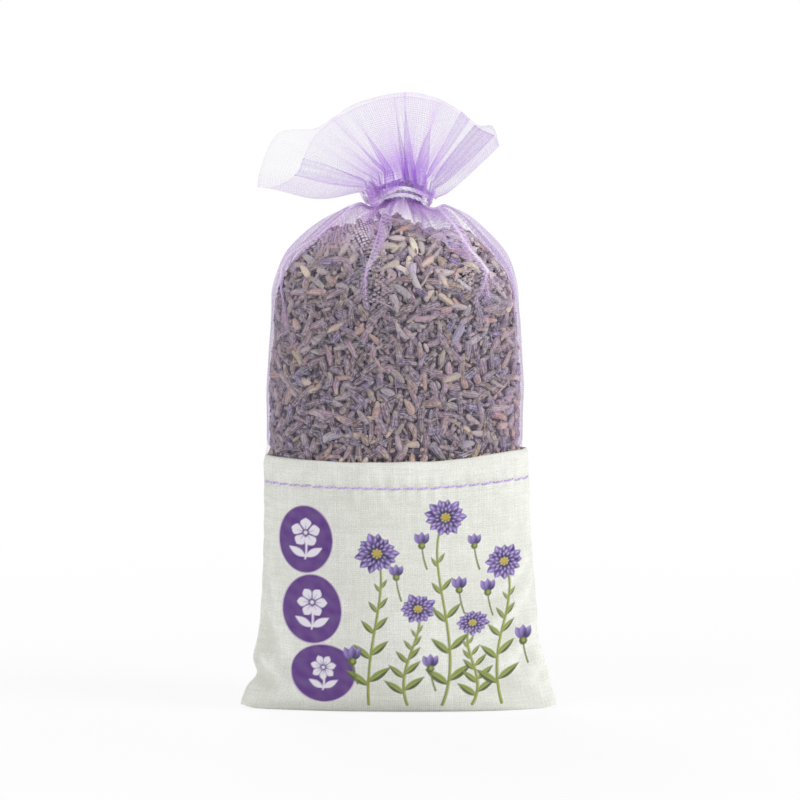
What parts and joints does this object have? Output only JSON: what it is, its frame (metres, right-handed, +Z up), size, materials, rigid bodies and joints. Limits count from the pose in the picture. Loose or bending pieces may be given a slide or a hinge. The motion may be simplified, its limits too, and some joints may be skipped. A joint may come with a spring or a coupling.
{
  "type": "lavender sachet",
  "caption": "Upright scented sachet: a linen pocket with a stitched hem, a sheer bag full of dried lavender, and a tied neck with a fanned ruffle.",
  "frame": {"origin": "on the floor, under the middle of the bag", "axes": "+Z up through the tied neck, front with the print towards -Y, +X to the right as seen from the front"},
  "size_m": [0.08, 0.0357, 0.1561],
  "materials": {
    "linen": "undyed off-white plain-weave linen, matt, printed on the front",
    "organza": "sheer lilac organza with a soft sheen",
    "overlock_thread": "pale lilac overlock thread",
    "hem_thread": "lilac sewing thread",
    "tie_cord": "thin pale lilac cord with a slight sheen",
    "lavender": "dried lavender buds, matt"
  },
  "bodies": {
    "root": {"linen_front_panel": "linen", "linen_back_panel": "linen", "organza_front_panel": "organza", "organza_back_panel": "organza", "left_side_seam": "overlock_thread", "right_side_seam": "overlock_thread", "bottom_seam": "overlock_thread", "hem_stitching_front": "hem_thread", "hem_stitching_back": "hem_thread", "neck_tie": "tie_cord", "neck_tie_knot": "tie_cord", "lavender_fill": "lavender", "lavender_bud_01": "lavender", "lavender_bud_02": "lavender", "lavender_bud_03": "lavender", "lavender_bud_04": "lavender", "lavender_bud_05": "lavender", "lavender_bud_06": "lavender", "lavender_bud_07": "lavender", "lavender_bud_08": "lavender", "lavender_bud_09": "lavender", "lavender_bud_10": "lavender", "lavender_bud_11": "lavender", "lavender_bud_12": "lavender", "lavender_bud_13": "lavender", "lavender_bud_14": "lavender", "lavender_bud_15": "lavender", "lavender_bud_16": "lavender", "lavender_bud_17": "lavender", "lavender_bud_18": "lavender", "lavender_bud_19": "lavender", "lavender_bud_20": "lavender", "lavender_bud_21": "lavender", "lavender_bud_22": "lavender", "lavender_bud_23": "lavender", "lavender_bud_24": "lavender", "lavender_bud_25": "lavender", "lavender_bud_26": "lavender", "lavender_bud_27": "lavender", "lavender_bud_28": "lavender", "lavender_bud_29": "lavender", "lavender_bud_30": "lavender", "lavender_bud_31": "lavender", "lavender_bud_32": "lavender", "lavender_bud_33": "lavender", "lavender_bud_34": "lavender", "lavender_bud_35": "lavender", "lavender_bud_36": "lavender", "lavender_bud_37": "lavender", "lavender_bud_38": "lavender", "lavender_bud_39": "lavender", "lavender_bud_40": "lavender"}
  },
  "joints": []
}
